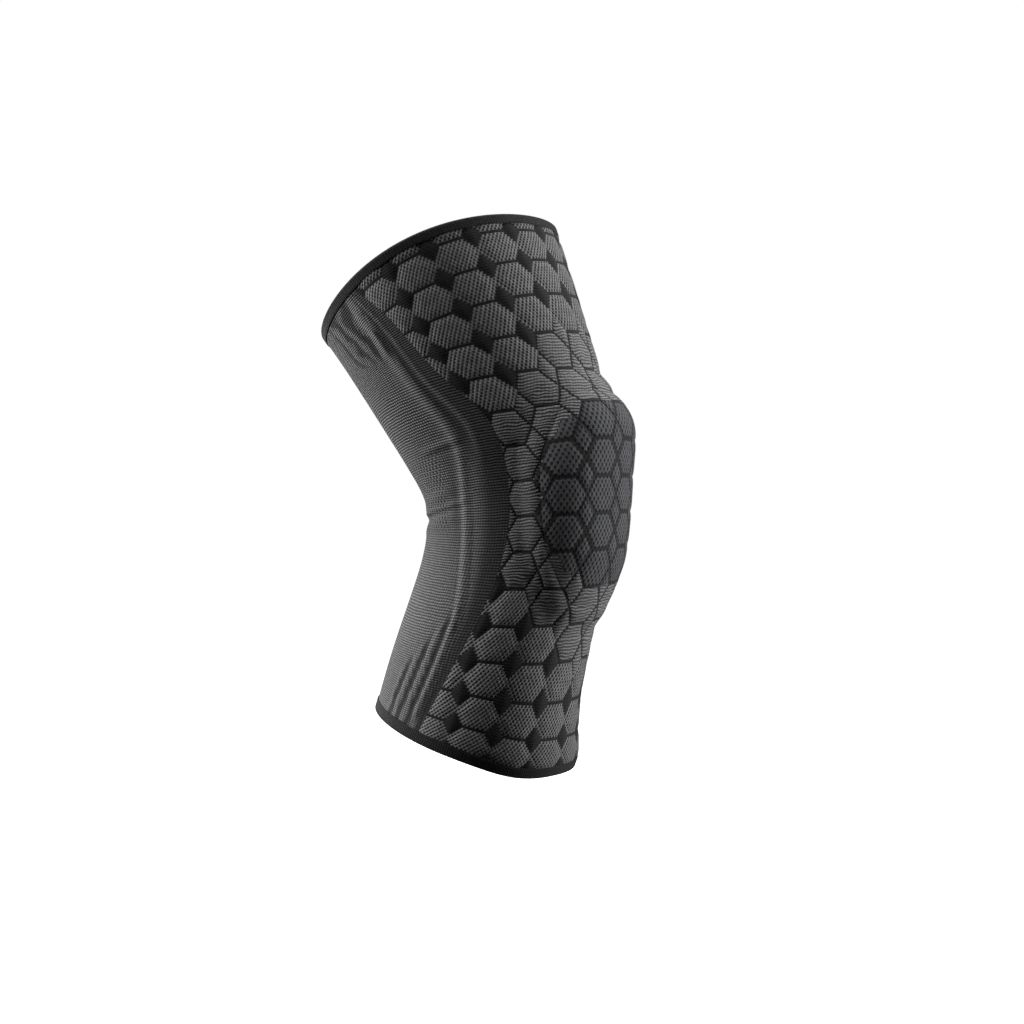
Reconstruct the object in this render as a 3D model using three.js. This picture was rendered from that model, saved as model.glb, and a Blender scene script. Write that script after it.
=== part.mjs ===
// Basketball knee pad: a knitted sleeve in the form of a bent leg, with a foam pad over the kneecap.
// Millimetres, +Z up. The pad faces -Y. The origin lies on the leg axis in the middle of the knee.
import * as THREE from "three";

// Driving dimensions of the leg form; a station is a length along the leg axis from the knee
const TOP_STATION = 123; // thigh end of the knit
const BOTTOM_STATION = -136; // calf end of the knit
const THIGH_LEAN = 24.9; // degrees the thigh leans back
const CALF_LEAN = 16.4; // degrees the calf leans back
const BEND_CENTRE = -8; // station where the knee bends most
const BEND_HALF = 70; // the bend runs out over this length each way
const LIFT_STATION = 140; // distance from the knee where the two lifts below are measured
const TOP_LIFT = 16.4; // how far the sides of a ring rise at the thigh
const BOTTOM_LIFT = 3.6; // how far the sides of a ring drop at the calf
const SAG = 3.7; // how far a ring sags at the calf, each side of the shin
const SAG_ANGLE = 58; // degrees from the front of the bend to the deepest sag
const SAG_WIDTH = 26; // half width of the sag in degrees
const PAD_TURN = 21; // degrees from the front of the bend round to the pad

// Driving dimensions of the knit and the hems
const WALL = 2.0; // thickness of the knit
const GAP = 0.3; // clearance between the knit and a hem
const HEM_THICK = 1.3; // thickness of the folded edging
const HEM_ROUND = 0.5; // rounding of the edging's lower outer edge
const TOP_HEM_HEIGHT = 4.0; // how far the edging reaches down the knit at the thigh
const BOTTOM_HEM_HEIGHT = 5.0; // how far the edging reaches up the knit at the calf

// Driving dimensions of the foam pad
const PAD_GAP = 0.6; // clearance between the knit and the pad
const PAD_EDGE = 1.2; // thickness at the outline
const PAD_CROWN = 8.4; // thickness in the middle
const PAD_SLOPE = 1.45; // extra thickness per hexagon row towards the thigh
const PAD_SHOULDER = 0.46; // share of the pad taken by its sloping border
const PAD_FULLNESS = 0.9; // below 1 fills out the sloping border
const TENT = 5.0; // the knit stands off the leg this much under the pad
const TENT_REACH = 0.25; // the stand-off fades over this share of the pad size

// Driving dimensions of the side cords and of the fold behind the knee
const CORD_HEIGHT = 1.0; // rise of the knitted cord down each side
const CORD_WIDTH = 2.4; // half width of the cord in degrees
const CORD_END = 9; // the cord ends this far from the end of the knit
const CORD_FADE = 12; // and sinks to nothing over this length
const FOLD_DEPTH = 0.7; // depth of the fold
const FOLD_WIDTH = 4.2; // half width of the fold along the axis
const FOLD_START = 112; // degrees round from the front where the fold begins
const FOLD_FADE = 26; // degrees over which it gets to its full depth
const FOLD_LEVEL = 120; // degrees round from the front where it is level with the knee
const FOLD_SLANT = 0.27; // millimetres that it falls per degree from there
const SWELL_AWAY = 2.2; // the swells lie this many half widths above and below the fold
const SWELL_SHARE = 0.6; // height of a swell as a share of the depth

// Rings of the leg, one row each 35 mm of axis from station -140 up. Front, back and side are radii,
// centre is the angle of the pattern's middle line, and ridge is the angle from there to a side cord.
const RING_START = -140;
const RING_STEP = 35;
const RINGS = [
  { front: 61.0, back: 56.0, side: 51.0, centre: 20.0, ridge: 104 },
  { front: 51.4, back: 56.0, side: 54.0, centre: 17.5, ridge: 100 },
  { front: 47.5, back: 54.5, side: 55.5, centre: 14.5, ridge: 100 },
  { front: 46.0, back: 53.0, side: 55.0, centre: 18.5, ridge: 100 },
  { front: 47.5, back: 52.5, side: 54.0, centre: 21.0, ridge: 98 },
  { front: 58.5, back: 57.0, side: 56.0, centre: 22.0, ridge: 91 },
  { front: 64.5, back: 61.5, side: 60.0, centre: 30.5, ridge: 90 },
  { front: 69.0, back: 66.5, side: 64.0, centre: 36.5, ridge: 89 },
  { front: 73.5, back: 73.0, side: 67.0, centre: 39.5, ridge: 97 },
];

// Rows of hexagons over the knee, one table row each two hexagons from row -4 up. Front and side are the
// stations where the row crosses the shin line and the side of the knee, and pitch is degrees a column.
const ROW_START = -4;
const ROW_STEP = 2;
const ROWS = [
  { front: -65.5, side: -77.5, pitch: 24.3 },
  { front: -32.0, side: -40.0, pitch: 22.3 },
  { front: -6.0, side: -4.0, pitch: 20.8 },
  { front: 20.0, side: 31.0, pitch: 20.6 },
  { front: 52.5, side: 65.0, pitch: 19.8 },
];

// Outline of the pad, an octagon in columns and rows of hexagons
const PAD_HALF_COLUMNS = 2.6;
const PAD_ROWS_UP = 2.85; // from the middle to the upper edge
const PAD_ROWS_DOWN = 3.1; // from the middle to the lower edge
const PAD_LEVEL_SHARE = 0.56; // half length of a level edge as a share of the half columns
const PAD_UPRIGHT_SHARE = 0.39; // half length of an upright edge as a share of the rows
const PAD_ROUNDING = 12; // higher is sharper corners

// Fineness of the facets
const AXIS_STEPS = 120; // steps in which the bent axis is summed
const SETTLING_ROUNDS = 8; // rounds in which an angle and a station are settled
const HALVINGS = 24; // halvings in which a row is found
const ROW_LIMIT = 6; // rows are looked for between minus and plus this
const FRONT_COLUMNS = 9; // columns from the middle of the front to a cord
const BACK_COLUMNS = 8; // columns from a cord to the middle of the back
const CORD_COLUMNS = [-6, -3, -1.4, 0, 1.4, 3, 6]; // degrees of the columns on and beside a cord
const ROW_SPANS = [
  { from: BOTTOM_STATION, to: -26, parts: 13 },
  { from: -26, to: 10, parts: 12 }, // close set at the fold behind the knee
  { from: 10, to: TOP_STATION, parts: 14 },
];
const HEM_BACKSTEP = 4; // the way along the knit at a hem is taken over this length
const PAD_AROUND = 60; // points round the pad
const PAD_FACE_SIZES = [0.02, 0.16, 0.32, 0.48, 0.62, 0.72, 0.8, 0.87, 0.93, 0.97, 1.0];
const PAD_UNDER_SIZES = [1.0, 0.85, 0.68, 0.51, 0.34, 0.17, 0.02];

const DEGREE = Math.PI / 180;

// Smooth curve through equally spaced values of one table column
function follow(table, column, start, step, at) {
  const last = table.length - 1;
  const place = (at - start) / step;
  const row = Math.min(Math.max(Math.floor(place), 0), last - 1);
  const t = Math.min(Math.max(place - row, -0.5), 1.5);
  const value = (k) => table[k][column];
  const slope = (k) => {
    const before = Math.max(k - 1, 0);
    const after = Math.min(k + 1, last);
    return (value(after) - value(before)) / (after - before);
  };
  const square = t * t;
  const cube = square * t;
  return (
    (2 * cube - 3 * square + 1) * value(row) +
    (cube - 2 * square + t) * slope(row) +
    (3 * square - 2 * cube) * value(row + 1) +
    (cube - square) * slope(row + 1)
  );
}

function ring(column, station) {
  return follow(RINGS, column, RING_START, RING_STEP, station);
}

// Smooth step from 0 to 1
function ease(t) {
  const k = Math.min(Math.max(t, 0), 1);
  return k * k * (3 - 2 * k);
}

// Bell curve of height 1
function bell(x) {
  return Math.exp(-x * x);
}

// Degrees brought into the range from -180 to 180
function halfTurn(angle) {
  return ((angle + 540) % 360) - 180;
}

// Lean of the leg axis at a station, in radians
function lean(station) {
  const share = ease(((station - BEND_CENTRE) / BEND_HALF + 1) / 2);
  return (-CALF_LEAN + (THIGH_LEAN + CALF_LEAN) * share) * DEGREE;
}

// Point of the leg axis at a station, summed from the knee in short steps
function axisPoint(station) {
  const step = station / AXIS_STEPS;
  let back = 0;
  let up = 0;
  for (let k = 0; k < AXIS_STEPS; k += 1) {
    const angle = lean((k + 0.5) * step);
    back += Math.sin(angle) * step;
    up += Math.cos(angle) * step;
  }
  return { back, up, angle: lean(station) };
}

// Point on the leg form at an angle in degrees from the front of the bend, a station along the axis and
// a distance off the form
function legPoint(angle, station, off) {
  const axis = axisPoint(station);
  const cosine = Math.cos(angle * DEGREE);
  const sine = Math.sin(angle * DEGREE);
  const depth = (ring(cosine > 0 ? "front" : "back", station) + off) * cosine;
  const width = (ring("side", station) + off) * sine;
  const share = station / LIFT_STATION;
  const sag = SAG * share ** 4 * bell((Math.abs(halfTurn(angle)) - SAG_ANGLE) / SAG_WIDTH);
  const sideLift = (station > 0 ? TOP_LIFT : -BOTTOM_LIFT) * (share * sine) ** 2;
  const lift = station > 0 ? sideLift : sideLift - sag;
  const back = axis.back - depth * Math.cos(axis.angle) + lift * Math.sin(axis.angle);
  const up = axis.up + depth * Math.sin(axis.angle) + lift * Math.cos(axis.angle);
  return new THREE.Vector3(-width, back, up);
}

// Station where a row of hexagons crosses an angle
function rowStation(row, angle) {
  const front = follow(ROWS, "front", ROW_START, ROW_STEP, row);
  const side = follow(ROWS, "side", ROW_START, ROW_STEP, row);
  return side + (front - side) * Math.cos(angle * DEGREE);
}

// Row of hexagons that crosses an angle at a station, by halving
function rowAt(station, angle) {
  let low = -ROW_LIMIT;
  let high = ROW_LIMIT;
  for (let k = 0; k < HALVINGS; k += 1) {
    const middle = (low + high) / 2;
    if (rowStation(middle, angle) < station) {
      low = middle;
    } else {
      high = middle;
    }
  }
  return (low + high) / 2;
}

// Degrees from one column of hexagons to the next in a row
function rowPitch(row) {
  const inTable = Math.min(Math.max(row, ROW_START), -ROW_START);
  return follow(ROWS, "pitch", ROW_START, ROW_STEP, inTable);
}

// Angle and station of a column and row of hexagons; each depends on the other
function hexagonPlace(column, row) {
  let angle = PAD_TURN;
  let station = 0;
  for (let k = 0; k < SETTLING_ROUNDS; k += 1) {
    station = rowStation(row, angle);
    angle = ring("centre", station) + column * rowPitch(row);
  }
  return { angle, station };
}

// Size of the rounded octagon through a column and row, 1 on the outline of the pad
function padSize(column, row) {
  const across = Math.abs(column) / PAD_HALF_COLUMNS;
  const along = Math.abs(row) / (row > 0 ? PAD_ROWS_UP : PAD_ROWS_DOWN);
  const run = 1 - PAD_LEVEL_SHARE;
  const fall = 1 - PAD_UPRIGHT_SHARE;
  const slanted = (fall * across + run * along) / (fall * PAD_LEVEL_SHARE + run);
  const sum = across ** PAD_ROUNDING + along ** PAD_ROUNDING + slanted ** PAD_ROUNDING;
  return sum ** (1 / PAD_ROUNDING);
}

// How far the knit stands off the leg under and round the pad
function tent(angle, station) {
  const row = rowAt(station, angle);
  const column = halfTurn(angle - ring("centre", station)) / rowPitch(row);
  return TENT * ease(1 - (padSize(column, row) - 1) / TENT_REACH);
}

// Rise of the side cords, whose turn is measured from the pattern's middle line
function cord(turn, station) {
  const top = ease((TOP_STATION - CORD_END - station) / CORD_FADE);
  const bottom = ease((station - BOTTOM_STATION - CORD_END) / CORD_FADE);
  return CORD_HEIGHT * top * bottom * bell((Math.abs(turn) - ring("ridge", station)) / CORD_WIDTH);
}

// Fold behind the knee with a swell above and below it
function fold(angle, station) {
  const round = Math.abs(halfTurn(angle));
  const away = (station + FOLD_SLANT * (round - FOLD_LEVEL)) / FOLD_WIDTH;
  const swells = bell(away - SWELL_AWAY) + bell(away + SWELL_AWAY);
  return FOLD_DEPTH * ease((round - FOLD_START) / FOLD_FADE) * (SWELL_SHARE * swells - bell(away));
}

// Point of the knit: its outer face, or its inner face a wall's thickness inside that
function sleevePoint(turn, station, inward) {
  const angle = ring("centre", station) + turn;
  const cordRise = inward > 0 ? 0 : cord(turn, station);
  return legPoint(angle, station, tent(angle, station) + fold(angle, station) + cordRise - inward);
}

// Turns of the sleeve's columns at a station, all the way round: front, close set at each cord, back
function columnTurns(station) {
  const ridge = ring("ridge", station);
  const border = CORD_COLUMNS[CORD_COLUMNS.length - 1];
  const half = [];
  for (let k = 0; k < FRONT_COLUMNS; k += 1) {
    half.push(((ridge - border) * k) / FRONT_COLUMNS);
  }
  for (const beside of CORD_COLUMNS) {
    half.push(ridge + beside);
  }
  for (let k = 1; k <= BACK_COLUMNS; k += 1) {
    half.push(ridge + border + ((180 - ridge - border) * k) / BACK_COLUMNS);
  }
  const other = half.slice(1, -1).reverse();
  return [...half, ...other.map((turn) => -turn)];
}

// Stations of the sleeve's rows from calf to thigh
function rowStations() {
  const stations = [];
  for (const span of ROW_SPANS) {
    for (let k = 0; k < span.parts; k += 1) {
      stations.push(span.from + ((span.to - span.from) * k) / span.parts);
    }
  }
  stations.push(TOP_STATION);
  return stations;
}

// Faces between neighbouring rings of equal length; a closed list also joins the last ring to the first
function solidFromRings(rings, closedList) {
  const count = rings[0].length;
  const points = rings.flat();
  const faces = [];
  const joins = closedList ? rings.length : rings.length - 1;
  for (let r = 0; r < joins; r += 1) {
    const next = (r + 1) % rings.length;
    for (let c = 0; c < count; c += 1) {
      const beside = (c + 1) % count;
      const a = r * count + c;
      const b = r * count + beside;
      const d = next * count + c;
      const e = next * count + beside;
      faces.push([a, b, e], [a, e, d]);
    }
  }
  return { points, faces };
}

// Mesh with its faces pointing out, which the sign of its volume tells
function meshFrom(name, solid, colour) {
  const { points, faces } = solid;
  let volume = 0;
  for (const [a, b, c] of faces) {
    volume += points[a].dot(new THREE.Vector3().crossVectors(points[b], points[c]));
  }
  const index = faces.flatMap(([a, b, c]) => (volume > 0 ? [a, b, c] : [a, c, b]));
  const coordinates = points.flatMap((point) => point.toArray());
  const geometry = new THREE.BufferGeometry();
  geometry.setAttribute("position", new THREE.Float32BufferAttribute(coordinates, 3));
  geometry.setIndex(index);
  geometry.computeVertexNormals();
  const material = new THREE.MeshStandardMaterial({ color: colour, roughness: 0.9, metalness: 0 });
  const mesh = new THREE.Mesh(geometry, material);
  mesh.name = name;
  return mesh;
}

// Knitted tube: the outer wall from calf to thigh, then the inner wall back down
function sleeve() {
  const stations = rowStations();
  const outer = stations.map((s) => columnTurns(s).map((turn) => sleevePoint(turn, s, 0)));
  const inner = stations.map((s) => columnTurns(s).map((turn) => sleevePoint(turn, s, WALL)));
  return meshFrom("sleeve", solidFromRings([...outer, ...inner.reverse()], true), 0x6b6b6d);
}

// Middle of the knit's thickness
function knitMiddle(turn, station) {
  return sleevePoint(turn, station, 0).add(sleevePoint(turn, station, WALL)).multiplyScalar(0.5);
}

// Folded edging: a channel that grips the end of the knit; side +1 is the thigh end, -1 the calf end
function hem(name, station, side, height) {
  const near = WALL / 2 + GAP;
  const far = near + HEM_THICK;
  const crown = GAP + HEM_THICK;
  const diagonal = Math.SQRT1_2;
  const channel = [
    { off: near, along: -height },
    { off: far - HEM_ROUND, along: -height },
    { off: far, along: -height + HEM_ROUND },
    { off: far, along: 0 },
    { off: far * diagonal, along: crown * diagonal },
    { off: 0, along: crown },
    { off: -far * diagonal, along: crown * diagonal },
    { off: -far, along: 0 },
    { off: -far, along: -height },
    { off: -near, along: -height },
    { off: -near, along: GAP },
    { off: near, along: GAP },
  ];
  const turns = columnTurns(station);
  const rings = channel.map(({ off, along }) =>
    turns.map((turn) => {
      const middle = knitMiddle(turn, station);
      const onward = middle.clone().sub(knitMiddle(turn, station - side * HEM_BACKSTEP)).normalize();
      const outward = sleevePoint(turn, station, 0).sub(sleevePoint(turn, station, WALL)).normalize();
      return middle.addScaledVector(outward, off).addScaledVector(onward, along);
    }),
  );
  return meshFrom(name, solidFromRings(rings, true), 0x1d1d1f);
}

// Point of the pad at a size and a way round the octagon, on its face or its underside
function padPoint(size, k, onFace) {
  const way = (2 * Math.PI * k) / PAD_AROUND;
  const reach = size / padSize(Math.cos(way), Math.sin(way));
  const row = reach * Math.sin(way);
  const { angle, station } = hexagonPlace(reach * Math.cos(way), row);
  const border = Math.min(1, (1 - size) / PAD_SHOULDER);
  const shoulder = Math.sin((Math.PI / 2) * border) ** PAD_FULLNESS;
  const thickness = PAD_EDGE + (PAD_CROWN + PAD_SLOPE * row - PAD_EDGE) * shoulder;
  return legPoint(angle, station, TENT + PAD_GAP + (onFace ? thickness : 0));
}

function middleOf(points) {
  const total = points.reduce((sum, point) => sum.add(point), new THREE.Vector3());
  return total.divideScalar(points.length);
}

// Foam pad: rings from the middle of the face out to the edge and back to the middle of the underside
function kneePad() {
  const around = Array.from({ length: PAD_AROUND }, (_, k) => k);
  const face = PAD_FACE_SIZES.map((size) => around.map((k) => padPoint(size, k, true)));
  const under = PAD_UNDER_SIZES.map((size) => around.map((k) => padPoint(size, k, false)));
  const solid = solidFromRings([...face, ...under], false);
  const lastRing = (face.length + under.length - 1) * PAD_AROUND;
  const faceMiddle = solid.points.push(middleOf(face[0])) - 1;
  const underMiddle = solid.points.push(middleOf(under[under.length - 1])) - 1;
  for (const k of around) {
    const beside = (k + 1) % PAD_AROUND;
    solid.faces.push([faceMiddle, beside, k]);
    solid.faces.push([underMiddle, lastRing + k, lastRing + beside]);
  }
  return meshFrom("knee_pad", solid, 0x3c3c42);
}

// The pieces are built square to the plane of the bend, then turned so that the pad faces -Y
const leg = new THREE.Group();
leg.rotation.z = PAD_TURN * DEGREE;
leg.add(sleeve());
leg.add(kneePad());
leg.add(hem("top_hem", TOP_STATION, 1, TOP_HEM_HEIGHT));
leg.add(hem("bottom_hem", BOTTOM_STATION, -1, BOTTOM_HEM_HEIGHT));

const part = new THREE.Group();
part.name = "basketball_knee_pad";
part.add(leg);

export default part;
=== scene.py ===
# %% [markdown]
# # A knitted knee pad for basketball
# The object is one seamless knitted tube in the form of a bent leg. A foam pad sits over the kneecap and
# a narrow elastic edging binds each end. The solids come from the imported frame. This file adds the looks:
# every visible surface is a function of two parameters, worked out with numpy, and every finish is a
# formula in shader nodes that counts hexagons, wales and courses along the cloth.

# %% Load the frame
import math
from functools import partialmethod

import bpy
import numpy as np
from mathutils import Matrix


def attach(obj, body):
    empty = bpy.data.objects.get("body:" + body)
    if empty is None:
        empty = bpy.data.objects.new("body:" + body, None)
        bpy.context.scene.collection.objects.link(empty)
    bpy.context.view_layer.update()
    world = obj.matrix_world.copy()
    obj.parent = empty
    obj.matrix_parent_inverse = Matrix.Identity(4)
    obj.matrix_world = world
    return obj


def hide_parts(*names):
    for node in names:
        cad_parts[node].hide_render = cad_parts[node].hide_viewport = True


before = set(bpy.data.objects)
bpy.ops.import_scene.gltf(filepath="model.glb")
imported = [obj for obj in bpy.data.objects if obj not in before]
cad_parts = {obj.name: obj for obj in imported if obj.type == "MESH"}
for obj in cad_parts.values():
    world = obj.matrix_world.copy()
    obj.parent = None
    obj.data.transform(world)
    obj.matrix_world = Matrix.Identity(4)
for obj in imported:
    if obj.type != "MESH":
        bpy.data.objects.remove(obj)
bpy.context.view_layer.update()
MM = 0.001

# %% [markdown]
# ## The form of the leg
# A worn sleeve takes its shape from the leg. It could be sculpted, but a leg is simple to state: an axis
# that leans back above and below the knee, and a ring at each station of that axis with a radius in front,
# at the back and at the sides. Nine rings with a smooth curve between them give the whole form.

# %% Sizes of the leg, in millimetres and degrees
TOP_STATION = 123.0
BOTTOM_STATION = -136.0
THIGH_LEAN = 24.9
CALF_LEAN = 16.4
BEND_CENTRE = -8.0
BEND_HALF = 70.0
TOP_LIFT = 16.4
BOTTOM_LIFT = 3.6
SAG = 3.7
SAG_ANGLE = 58.0
SAG_WIDTH = 26.0
LIFT_STATION = 140.0
PAD_TURN = 21.0
WALL = 2.0
RING_START = -140.0
RING_STEP = 35.0
AXIS_REACH = 170.0
AXIS_POINTS = 1361
OVERRUN = 0.5
# Radii in front, at the back and at the sides; then, in degrees, the pattern's middle line from the front of
# the leg, and the edge of the hexagons and the side cord from that line.
RINGS = {
    "front": (61.0, 51.4, 47.5, 46.0, 47.5, 58.5, 64.5, 69.0, 73.5),
    "back": (56.0, 56.0, 54.5, 53.0, 52.5, 57.0, 61.5, 66.5, 73.0),
    "side": (51.0, 54.0, 55.5, 55.0, 54.0, 56.0, 60.0, 64.0, 67.0),
    "centre": (20.0, 17.5, 14.5, 18.5, 21.0, 22.0, 30.5, 36.5, 39.5),
    "edge": (98.0, 92.0, 87.0, 77.0, 70.5, 69.5, 75.0, 79.0, 94.0),
    "ridge": (104.0, 100.0, 100.0, 100.0, 98.0, 91.0, 90.0, 89.0, 97.0),
}


def ease(way):
    """Smooth step: 0 below 0, 1 above 1, and three times the square less twice the cube between."""
    part = np.clip(way, 0.0, 1.0)
    return part * part * (3.0 - 2.0 * part)


def hump(x, width):
    """Bell curve of height 1: e to the power of minus the square of x over the width."""
    return np.exp(-((x / width) ** 2))


def follow(values, start, step, at):
    """Smooth curve through equally spaced values: a cubic in each gap, whose end slopes are
    half the difference of the neighbours on both sides."""
    values = np.asarray(values, float)
    slopes = np.gradient(values)
    place = (np.asarray(at, float) - start) / step
    row = np.clip(np.floor(place).astype(int), 0, len(values) - 2)
    part = np.clip(place - row, -OVERRUN, 1.0 + OVERRUN)
    rise = part * part * (3.0 - 2.0 * part)
    curve = values[row] * (1.0 - rise) + values[row + 1] * rise
    return curve + slopes[row] * (part**3 - 2.0 * part**2 + part) + slopes[row + 1] * (part**3 - part**2)


def ring(column, station):
    """One column of the ring table at any station."""
    return follow(RINGS[column], RING_START, RING_STEP, station)


def lean(station):
    """Lean of the axis in radians: from the calf's lean to the thigh's by a smooth step over the bend."""
    share = ease(((station - BEND_CENTRE) / BEND_HALF + 1.0) / 2.0)
    return np.radians(-CALF_LEAN + (THIGH_LEAN + CALF_LEAN) * share)


axis_stations = np.linspace(-AXIS_REACH, AXIS_REACH, AXIS_POINTS)
axis_step = axis_stations[1] - axis_stations[0]
axis_back = np.cumsum(np.sin(lean(axis_stations - axis_step / 2))) * axis_step
axis_up = np.cumsum(np.cos(lean(axis_stations - axis_step / 2))) * axis_step
axis_back -= np.interp(0.0, axis_stations, axis_back)
axis_up -= np.interp(0.0, axis_stations, axis_up)


def from_front(angle):
    """Degrees round from the front of the leg, up to 180 at the back, the same on both sides."""
    return np.abs((angle + 540.0) % 360.0 - 180.0)


def leg_point(angle, station, off):
    """Point on the leg in metres: the axis point, plus the ring's radius along the front by the cosine of
    the angle and along the side by its sine, plus a lift of the sides that grows with the square of the
    station, less a sag beside the shin at the calf, all turned so that the pad faces -Y. Off is the distance
    off the form in millimetres."""
    angle, station, off = np.broadcast_arrays(angle, station, off)
    beside_shin = hump(from_front(angle) - SAG_ANGLE, SAG_WIDTH)
    angle = np.radians(angle)
    tilt = lean(station)
    cosine = np.cos(angle)
    sine = np.sin(angle)
    depth = (np.where(cosine > 0, ring("front", station), ring("back", station)) + off) * cosine
    width = (ring("side", station) + off) * sine
    share = station / LIFT_STATION
    sag = np.where(station > 0, 0.0, SAG * share**4 * beside_shin)
    lift = np.where(station > 0, TOP_LIFT, -BOTTOM_LIFT) * (share * sine) ** 2 - sag
    back = np.interp(station, axis_stations, axis_back) - depth * np.cos(tilt) + lift * np.sin(tilt)
    up = np.interp(station, axis_stations, axis_up) + depth * np.sin(tilt) + lift * np.cos(tilt)
    turn = math.radians(PAD_TURN)
    x = -width * math.cos(turn) - back * math.sin(turn)
    y = -width * math.sin(turn) + back * math.cos(turn)
    return np.stack([x, y, up], axis=-1) * MM


print("leg axis", axis_up[0].round(1), "to", axis_up[-1].round(1), "mm")

# %% [markdown]
# ## The lattice of hexagons
# The front of the cloth is knitted in hexagons that stand in straight columns and level rows. Their places
# could be painted, but then nothing would line up across the pad's edge. Here every point of the cloth gets
# a column number and a row number, and the hexagons are counted in those two, as colour and as relief. A row
# crosses the shin line at one station and the side of the knee at another, because a bent tube is longer
# in front.

# %% Columns and rows
ROW_START = -8.0
ROW_STEP = 2.0
# Stations of the rows on the shin line and at the side, and degrees from one column to the next.
ROWS = {
    "front": (-140.5, -108.0, -65.5, -32.0, -6.0, 20.0, 52.5, 92.5, 124.0),
    "side": (-141.5, -112.5, -77.5, -40.0, -4.0, 31.0, 65.0, 95.0, 123.0),
    "pitch": (23.0, 23.0, 24.3, 22.3, 20.8, 20.6, 19.8, 19.2, 18.6),
}
ROW_LIMIT = 10.0
HALVINGS = 26
SETTLING_ROUNDS = 8
ROW_MM = 20.0
COLUMN_MM = 22.0
FLAT = 0.25
EDGE_COSINE = 0.9
FAR_AWAY = 99.0


def row_station(row, angle):
    """Station where a row crosses an angle: the side value, plus the front's difference by the cosine."""
    front = follow(ROWS["front"], ROW_START, ROW_STEP, row)
    side = follow(ROWS["side"], ROW_START, ROW_STEP, row)
    return side + (front - side) * np.cos(np.radians(angle))


def pitch(row):
    """Degrees from one column to the next in a row."""
    return follow(ROWS["pitch"], ROW_START, ROW_STEP, row)


def lattice_of(angle, station):
    """Column and row of a point: the row is found by halving, because stations grow with rows, and the
    column is the angle from the pattern's middle line divided by the pitch."""
    angle, station = np.broadcast_arrays(angle, station)
    low = np.full(angle.shape, -ROW_LIMIT)
    high = np.full(angle.shape, ROW_LIMIT)
    for _ in range(HALVINGS):
        middle = (low + high) / 2.0
        below = row_station(middle, angle) < station
        low = np.where(below, middle, low)
        high = np.where(below, high, middle)
    row = (low + high) / 2.0
    return (angle - ring("centre", station)) / pitch(row), row


def place_of(column, row):
    """Angle and station of a column and row; each needs the other, so they are settled in turn."""
    angle = np.full(np.broadcast(column, row).shape, PAD_TURN)
    for _ in range(SETTLING_ROUNDS):
        station = row_station(row, angle)
        angle = ring("centre", station) + column * pitch(row)
    return angle, station


def hexagon_inside(column, row):
    """Inside measure, and rows to the level edge, for arrays and shader wires alike. The measure is one half,
    less the distance to the column's middle, less the slope times the distance to the row's middle:
    positive in a hexagon, negative in a diamond."""
    across = abs(column - column.round())
    along = abs(row - row.round())
    return 0.5 - across - along * (1.0 - 2.0 * FLAT), 0.5 - along


def hexagon_edge(column, row):
    """Millimetres to the nearest edge of a hexagon: a slanted one, or the level one inside a hexagon."""
    inside, to_level = hexagon_inside(column, row)
    slanted = abs(inside) * COLUMN_MM * EDGE_COSINE
    return np.minimum(slanted, np.where(inside > 0, to_level * ROW_MM, FAR_AWAY))


probe = lattice_of(np.array([PAD_TURN, 3.0 * PAD_TURN]), np.array([0.0, 20.0]))
print("columns", probe[0].round(2), "rows", probe[1].round(2))

# %% [markdown]
# ## From arrays to a mesh
# A grid of points becomes a mesh of four-sided faces. The faces could be added one by one, but whole index
# arrays are shorter and much quicker. The helper also writes the lattice numbers as UV maps, so that the
# shader can read them.

# %% Mesh helper
SHARP_ANGLE = math.radians(45.0)


def grid_quads(rows, columns, wrap):
    """Corner numbers of a grid's faces: each point, its neighbour along the row, and the two above them.
    A wrapped grid joins its last column to its first."""
    last = columns if wrap else columns - 1
    row, here = np.meshgrid(np.arange(rows - 1), np.arange(last), indexing="ij")
    beside = (here + 1) % columns
    near = row * columns
    far = near + columns
    return np.stack([near + here, near + beside, far + beside, far + here], -1).reshape(-1, 4)


def corners_of(first, second):
    """UV numbers for each face corner of a grid, from two numbers at each point. Here a wrapped grid has its
    first column repeated last."""
    return np.stack([first, second], -1).reshape(-1, 2)[grid_quads(*first.shape, False)]


def make_piece(name, points, quads, maps, materials, material_of_face=None):
    """Object from points in metres, faces as corner numbers, and UV maps given corner by corner. Faces are
    shaded smooth, and apart from each other across a sharp edge."""
    mesh = bpy.data.meshes.new(name)
    mesh.from_pydata(points.reshape(-1, 3).tolist(), [], quads.tolist())
    for label, corners in maps.items():
        layer = mesh.uv_layers.new(name=label)
        layer.data.foreach_set("uv", np.ascontiguousarray(corners, np.float32).ravel())
    for material in materials:
        mesh.materials.append(material)
    if material_of_face is not None:
        mesh.polygons.foreach_set("material_index", np.ascontiguousarray(material_of_face, np.int32))
    mesh.polygons.foreach_set("use_smooth", np.ones(len(mesh.polygons), bool))
    mesh.update()
    mesh.set_sharp_from_angle(angle=SHARP_ANGLE)
    piece = bpy.data.objects.new(name, mesh)
    bpy.context.collection.objects.link(piece)
    print(name, len(mesh.vertices), "points", len(mesh.polygons), "faces")
    return piece


# %% [markdown]
# ## Writing a finish as a formula
# Knit is a pattern that repeats every two millimetres, with a colour chosen stitch by stitch. An image would
# blur and would have to be read from disk. Nodes can do the sum exactly, but hundreds of Math nodes placed
# by hand are hard to read, so a small class lets a formula be written with plus and times.

# %% Shader arithmetic


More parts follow.
